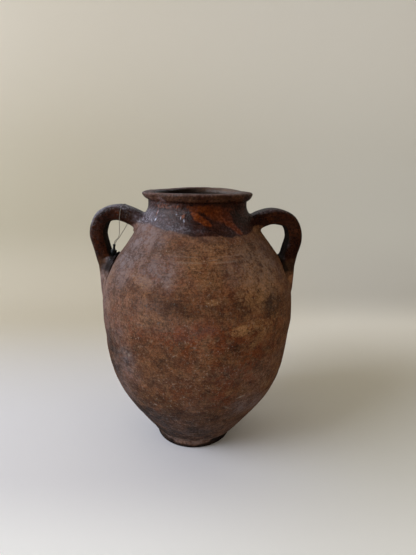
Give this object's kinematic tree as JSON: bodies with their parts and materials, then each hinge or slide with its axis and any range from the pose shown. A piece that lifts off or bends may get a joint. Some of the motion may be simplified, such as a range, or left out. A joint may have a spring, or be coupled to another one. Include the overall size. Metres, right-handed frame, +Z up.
{
  "type": "olive jar",
  "caption": "Two-handled earthenware olive jar: ovoid body on a small foot, short flared neck with a rolled lip, and strap handles.",
  "frame": {"origin": "centre of the foot's flat underside, on the jar's axis", "axes": "+Z up along the jar's axis, out of the mouth; the handles lie along X, the one with the thread at -X; -Y is the front"},
  "size_m": [0.295, 0.269, 0.37],
  "materials": {
    "bare_clay": "matt, mottled brown and orange fired clay, pitted and scraped",
    "dark_glaze": "dark brown satin glaze with amber runs on the neck",
    "thread": "thin twisted thread",
    "black_plastic": "black moulded plastic"
  },
  "bodies": {
    "root": {"foot": "bare_clay", "lower_body": "bare_clay", "upper_body": "bare_clay", "neck": "dark_glaze", "rim": "dark_glaze", "left_handle": "dark_glaze", "right_handle": "dark_glaze", "tag_thread": "thread", "tag_lock": "black_plastic", "tag_lock_pin": "black_plastic"}
  },
  "joints": []
}
